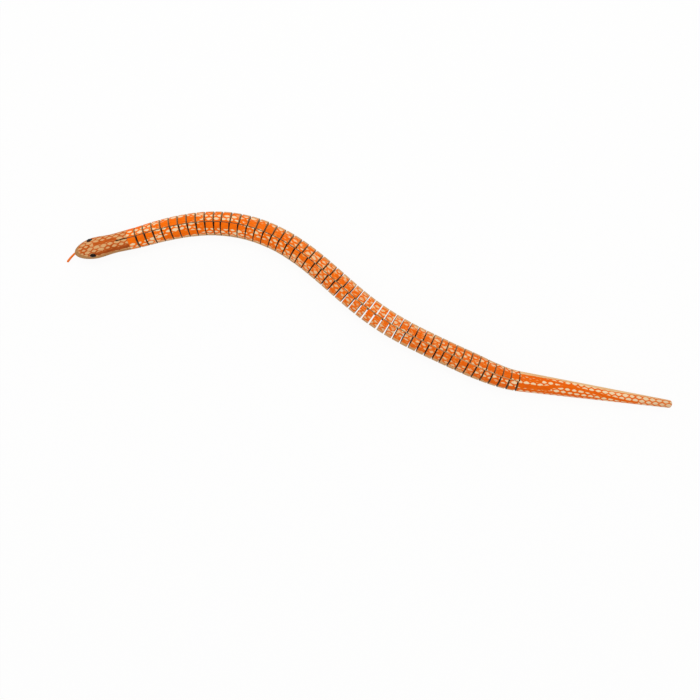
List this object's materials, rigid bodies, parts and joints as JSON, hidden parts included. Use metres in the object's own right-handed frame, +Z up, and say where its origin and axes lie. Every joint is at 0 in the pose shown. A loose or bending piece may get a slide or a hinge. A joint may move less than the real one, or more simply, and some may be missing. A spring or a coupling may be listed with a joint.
{
  "type": "jointed wooden snake toy",
  "caption": "Wooden snake toy sawn into pairs of half blocks on a canvas strip, so it sways sideways, with a carved head, bead eyes, thong tongue and tapered tail.",
  "frame": {"origin": "on the surface that the snake lies on, under the middle of its bounding box", "axes": "+X from the head to the tail along the length of the wave, +Y to the right side of the snake, +Z up"},
  "size_m": [0.4763, 0.1543, 0.0179],
  "materials": {
    "body_wood": "printed scales, satin varnish",
    "head_wood": "printed scales, satin varnish",
    "tail_wood": "printed scales, satin varnish",
    "eye": "gloss",
    "tongue": "dyed",
    "strip": "glued canvas"
  },
  "bodies": {
    "head": {"head": "head_wood", "eye_left": "eye", "eye_right": "eye", "tongue": "tongue", "segment_01": "body_wood"},
    "segment_02": {"segment_02": "body_wood"},
    "segment_03": {"segment_03": "body_wood"},
    "segment_04": {"segment_04": "body_wood"},
    "segment_05": {"segment_05": "body_wood"},
    "segment_06": {"segment_06": "body_wood"},
    "segment_07": {"segment_07": "body_wood"},
    "segment_08": {"segment_08": "body_wood"},
    "segment_09": {"segment_09": "body_wood"},
    "segment_10": {"segment_10": "body_wood"},
    "segment_11": {"segment_11": "body_wood"},
    "segment_12": {"segment_12": "body_wood"},
    "segment_13": {"segment_13": "body_wood"},
    "segment_14": {"segment_14": "body_wood"},
    "segment_15": {"segment_15": "body_wood"},
    "segment_16": {"segment_16": "body_wood"},
    "segment_17": {"segment_17": "body_wood"},
    "segment_18": {"segment_18": "body_wood"},
    "segment_19": {"segment_19": "body_wood"},
    "segment_20": {"segment_20": "body_wood"},
    "segment_21": {"segment_21": "body_wood"},
    "segment_22": {"segment_22": "body_wood"},
    "segment_23": {"segment_23": "body_wood"},
    "segment_24": {"segment_24": "body_wood"},
    "segment_25": {"segment_25": "body_wood"},
    "segment_26": {"segment_26": "body_wood", "spine_strip": "strip"},
    "segment_27": {"segment_27": "body_wood"},
    "segment_28": {"segment_28": "body_wood"},
    "segment_29": {"segment_29": "body_wood"},
    "segment_30": {"segment_30": "body_wood"},
    "segment_31": {"segment_31": "body_wood"},
    "segment_32": {"segment_32": "body_wood"},
    "segment_33": {"segment_33": "body_wood"},
    "segment_34": {"segment_34": "body_wood"},
    "segment_35": {"segment_35": "body_wood"},
    "segment_36": {"segment_36": "body_wood"},
    "segment_37": {"segment_37": "body_wood"},
    "segment_38": {"segment_38": "body_wood"},
    "segment_39": {"segment_39": "body_wood"},
    "segment_40": {"segment_40": "body_wood"},
    "segment_41": {"segment_41": "body_wood"},
    "segment_42": {"segment_42": "body_wood"},
    "segment_43": {"segment_43": "body_wood"},
    "segment_44": {"segment_44": "body_wood"},
    "segment_45": {"segment_45": "body_wood"},
    "segment_46": {"segment_46": "body_wood"},
    "segment_47": {"segment_47": "body_wood"},
    "segment_48": {"segment_48": "body_wood"},
    "segment_49": {"segment_49": "body_wood"},
    "segment_50": {"segment_50": "body_wood"},
    "tail": {"tail": "tail_wood"}
  },
  "joints": [
    {"name": "bend_01", "type": "hinge", "parent": "segment_02", "child": "head", "pos_m": [-0.18128, 0.05676, 0.00835], "axis": [0, 0, 1], "range_deg": [-4.25, 9.22], "deforming": ["spine_strip"]},
    {"name": "bend_02", "type": "hinge", "parent": "segment_03", "child": "segment_02", "pos_m": [-0.17467, 0.05869, 0.00835], "axis": [0, 0, 1], "range_deg": [-6.96, 6.23], "deforming": ["spine_strip"]},
    {"name": "bend_03", "type": "hinge", "parent": "segment_04", "child": "segment_03", "pos_m": [-0.16804, 0.06058, 0.00835], "axis": [0, 0, 1], "range_deg": [-7.69, 5.23], "deforming": ["spine_strip"]},
    {"name": "bend_04", "type": "hinge", "parent": "segment_05", "child": "segment_04", "pos_m": [-0.16138, 0.06233, 0.00835], "axis": [0, 0, 1], "range_deg": [-7.84, 4.83], "deforming": ["spine_strip"]},
    {"name": "bend_05", "type": "hinge", "parent": "segment_06", "child": "segment_05", "pos_m": [-0.15467, 0.0639, 0.00835], "axis": [0, 0, 1], "range_deg": [-8.02, 4.42], "deforming": ["spine_strip"]},
    {"name": "bend_06", "type": "hinge", "parent": "segment_07", "child": "segment_06", "pos_m": [-0.14791, 0.06526, 0.00835], "axis": [0, 0, 1], "range_deg": [-8.23, 4.01], "deforming": ["spine_strip"]},
    {"name": "bend_07", "type": "hinge", "parent": "segment_08", "child": "segment_07", "pos_m": [-0.14111, 0.06637, 0.00835], "axis": [0, 0, 1], "range_deg": [-8.45, 3.6], "deforming": ["spine_strip"]},
    {"name": "bend_08", "type": "hinge", "parent": "segment_09", "child": "segment_08", "pos_m": [-0.13427, 0.06719, 0.00835], "axis": [0, 0, 1], "range_deg": [-8.67, 3.21], "deforming": ["spine_strip"]},
    {"name": "bend_09", "type": "hinge", "parent": "segment_10", "child": "segment_09", "pos_m": [-0.1274, 0.06769, 0.00835], "axis": [0, 0, 1], "range_deg": [-8.89, 2.86], "deforming": ["spine_strip"]},
    {"name": "bend_10", "type": "hinge", "parent": "segment_11", "child": "segment_10", "pos_m": [-0.12051, 0.06782, 0.00835], "axis": [0, 0, 1], "range_deg": [-9.08, 2.55], "deforming": ["spine_strip"]},
    {"name": "bend_11", "type": "hinge", "parent": "segment_12", "child": "segment_11", "pos_m": [-0.11472, 0.0676, 0.00835], "axis": [0, 0, 1], "range_deg": [-9.24, 2.31], "deforming": ["spine_strip"]},
    {"name": "bend_12", "type": "hinge", "parent": "segment_13", "child": "segment_12", "pos_m": [-0.10786, 0.06693, 0.00835], "axis": [0, 0, 1], "range_deg": [-9.34, 2.14], "deforming": ["spine_strip"]},
    {"name": "bend_13", "type": "hinge", "parent": "segment_14", "child": "segment_13", "pos_m": [-0.10106, 0.06582, 0.00835], "axis": [0, 0, 1], "range_deg": [-9.39, 2.04], "deforming": ["spine_strip"]},
    {"name": "bend_14", "type": "hinge", "parent": "segment_15", "child": "segment_14", "pos_m": [-0.09434, 0.06428, 0.00835], "axis": [0, 0, 1], "range_deg": [-9.38, 2.03], "deforming": ["spine_strip"]},
    {"name": "bend_15", "type": "hinge", "parent": "segment_16", "child": "segment_15", "pos_m": [-0.08774, 0.06232, 0.00835], "axis": [0, 0, 1], "range_deg": [-9.3, 2.1], "deforming": ["spine_strip"]},
    {"name": "bend_16", "type": "hinge", "parent": "segment_17", "child": "segment_16", "pos_m": [-0.08127, 0.05994, 0.00835], "axis": [0, 0, 1], "range_deg": [-9.16, 2.24], "deforming": ["spine_strip"]},
    {"name": "bend_17", "type": "hinge", "parent": "segment_18", "child": "segment_17", "pos_m": [-0.07496, 0.05718, 0.00835], "axis": [0, 0, 1], "range_deg": [-8.96, 2.44], "deforming": ["spine_strip"]},
    {"name": "bend_18", "type": "hinge", "parent": "segment_19", "child": "segment_18", "pos_m": [-0.06882, 0.05406, 0.00835], "axis": [0, 0, 1], "range_deg": [-8.7, 2.69], "deforming": ["spine_strip"]},
    {"name": "bend_19", "type": "hinge", "parent": "segment_20", "child": "segment_19", "pos_m": [-0.06284, 0.05062, 0.00835], "axis": [0, 0, 1], "range_deg": [-8.41, 2.99], "deforming": ["spine_strip"]},
    {"name": "bend_20", "type": "hinge", "parent": "segment_21", "child": "segment_20", "pos_m": [-0.05704, 0.04691, 0.00835], "axis": [0, 0, 1], "range_deg": [-8.08, 3.32], "deforming": ["spine_strip"]},
    {"name": "bend_21", "type": "hinge", "parent": "segment_22", "child": "segment_21", "pos_m": [-0.05229, 0.04358, 0.00835], "axis": [0, 0, 1], "range_deg": [-7.73, 3.66], "deforming": ["spine_strip"]},
    {"name": "bend_22", "type": "hinge", "parent": "segment_23", "child": "segment_22", "pos_m": [-0.04679, 0.03943, 0.00835], "axis": [0, 0, 1], "range_deg": [-7.37, 4.03], "deforming": ["spine_strip"]},
    {"name": "bend_23", "type": "hinge", "parent": "segment_24", "child": "segment_23", "pos_m": [-0.04141, 0.03512, 0.00835], "axis": [0, 0, 1], "range_deg": [-6.99, 4.41], "deforming": ["spine_strip"]},
    {"name": "bend_24", "type": "hinge", "parent": "segment_25", "child": "segment_24", "pos_m": [-0.03614, 0.03069, 0.00835], "axis": [0, 0, 1], "range_deg": [-6.59, 4.81], "deforming": ["spine_strip"]},
    {"name": "bend_25", "type": "hinge", "parent": "segment_26", "child": "segment_25", "pos_m": [-0.03093, 0.02618, 0.00835], "axis": [0, 0, 1], "range_deg": [-6.18, 5.22], "deforming": ["spine_strip"]},
    {"name": "bend_26", "type": "hinge", "parent": "segment_26", "child": "segment_27", "pos_m": [-0.02576, 0.02163, 0.00835], "axis": [0, 0, 1], "range_deg": [-5.64, 5.76], "deforming": ["spine_strip"]},
    {"name": "bend_27", "type": "hinge", "parent": "segment_27", "child": "segment_28", "pos_m": [-0.02059, 0.01707, 0.00835], "axis": [0, 0, 1], "range_deg": [-6.07, 5.33], "deforming": ["spine_strip"]},
    {"name": "bend_28", "type": "hinge", "parent": "segment_28", "child": "segment_29", "pos_m": [-0.01539, 0.01255, 0.00835], "axis": [0, 0, 1], "range_deg": [-6.48, 4.92], "deforming": ["spine_strip"]},
    {"name": "bend_29", "type": "hinge", "parent": "segment_29", "child": "segment_30", "pos_m": [-0.01014, 0.00809, 0.00835], "axis": [0, 0, 1], "range_deg": [-6.86, 4.54], "deforming": ["spine_strip"]},
    {"name": "bend_30", "type": "hinge", "parent": "segment_30", "child": "segment_31", "pos_m": [-0.00479, 0.00375, 0.00835], "axis": [0, 0, 1], "range_deg": [-7.17, 4.22], "deforming": ["spine_strip"]},
    {"name": "bend_31", "type": "hinge", "parent": "segment_31", "child": "segment_32", "pos_m": [-0.0002, 0.0002, 0.00835], "axis": [0, 0, 1], "range_deg": [-7.4, 4], "deforming": ["spine_strip"]},
    {"name": "bend_32", "type": "hinge", "parent": "segment_32", "child": "segment_33", "pos_m": [0.00538, -0.00384, 0.00835], "axis": [0, 0, 1], "range_deg": [-7.51, 3.89], "deforming": ["spine_strip"]},
    {"name": "bend_33", "type": "hinge", "parent": "segment_33", "child": "segment_34", "pos_m": [0.01108, -0.00771, 0.00835], "axis": [0, 0, 1], "range_deg": [-7.51, 3.89], "deforming": ["spine_strip"]},
    {"name": "bend_34", "type": "hinge", "parent": "segment_34", "child": "segment_35", "pos_m": [0.0169, -0.01139, 0.00835], "axis": [0, 0, 1], "range_deg": [-7.4, 4], "deforming": ["spine_strip"]},
    {"name": "bend_35", "type": "hinge", "parent": "segment_35", "child": "segment_36", "pos_m": [0.02283, -0.0149, 0.00835], "axis": [0, 0, 1], "range_deg": [-7.21, 4.19], "deforming": ["spine_strip"]},
    {"name": "bend_36", "type": "hinge", "parent": "segment_36", "child": "segment_37", "pos_m": [0.02885, -0.01825, 0.00835], "axis": [0, 0, 1], "range_deg": [-6.97, 4.43], "deforming": ["spine_strip"]},
    {"name": "bend_37", "type": "hinge", "parent": "segment_37", "child": "segment_38", "pos_m": [0.03495, -0.02147, 0.00835], "axis": [0, 0, 1], "range_deg": [-6.71, 4.69], "deforming": ["spine_strip"]},
    {"name": "bend_38", "type": "hinge", "parent": "segment_38", "child": "segment_39", "pos_m": [0.04109, -0.02458, 0.00835], "axis": [0, 0, 1], "range_deg": [-6.46, 4.94], "deforming": ["spine_strip"]},
    {"name": "bend_39", "type": "hinge", "parent": "segment_39", "child": "segment_40", "pos_m": [0.04728, -0.02761, 0.00835], "axis": [0, 0, 1], "range_deg": [-6.24, 5.16], "deforming": ["spine_strip"]},
    {"name": "bend_40", "type": "hinge", "parent": "segment_40", "child": "segment_41", "pos_m": [0.0535, -0.03058, 0.00835], "axis": [0, 0, 1], "range_deg": [-6.07, 5.33], "deforming": ["spine_strip"]},
    {"name": "bend_41", "type": "hinge", "parent": "segment_41", "child": "segment_42", "pos_m": [0.05875, -0.03304, 0.00835], "axis": [0, 0, 1], "range_deg": [-5.94, 5.46], "deforming": ["spine_strip"]},
    {"name": "bend_42", "type": "hinge", "parent": "segment_42", "child": "segment_43", "pos_m": [0.065, -0.03594, 0.00835], "axis": [0, 0, 1], "range_deg": [-5.87, 5.53], "deforming": ["spine_strip"]},
    {"name": "bend_43", "type": "hinge", "parent": "segment_43", "child": "segment_44", "pos_m": [0.07126, -0.03883, 0.00835], "axis": [0, 0, 1], "range_deg": [-5.87, 5.53], "deforming": ["spine_strip"]},
    {"name": "bend_44", "type": "hinge", "parent": "segment_44", "child": "segment_45", "pos_m": [0.07752, -0.04169, 0.00835], "axis": [0, 0, 1], "range_deg": [-5.98, 5.42], "deforming": ["spine_strip"]},
    {"name": "bend_45", "type": "hinge", "parent": "segment_45", "child": "segment_46", "pos_m": [0.0838, -0.04452, 0.00835], "axis": [0, 0, 1], "range_deg": [-6.32, 5.16], "deforming": ["spine_strip"]},
    {"name": "bend_46", "type": "hinge", "parent": "segment_46", "child": "segment_47", "pos_m": [0.09011, -0.04729, 0.00835], "axis": [0, 0, 1], "range_deg": [-7.07, 4.76], "deforming": ["spine_strip"]},
    {"name": "bend_47", "type": "hinge", "parent": "segment_47", "child": "segment_48", "pos_m": [0.09648, -0.04993, 0.00835], "axis": [0, 0, 1], "range_deg": [-8.12, 4.08], "deforming": ["spine_strip"]},
    {"name": "bend_48", "type": "hinge", "parent": "segment_48", "child": "segment_49", "pos_m": [0.10293, -0.05235, 0.00835], "axis": [0, 0, 1], "range_deg": [-9.39, 3.21], "deforming": ["spine_strip"]},
    {"name": "bend_49", "type": "hinge", "parent": "segment_49", "child": "segment_50", "pos_m": [0.1095, -0.05441, 0.00835], "axis": [0, 0, 1], "range_deg": [-10.62, 2.41], "deforming": ["spine_strip"]},
    {"name": "bend_50", "type": "hinge", "parent": "segment_50", "child": "tail", "pos_m": [0.11621, -0.056, 0.00835], "axis": [0, 0, 1], "range_deg": [-11.48, 2.01], "deforming": ["spine_strip"]}
  ]
}
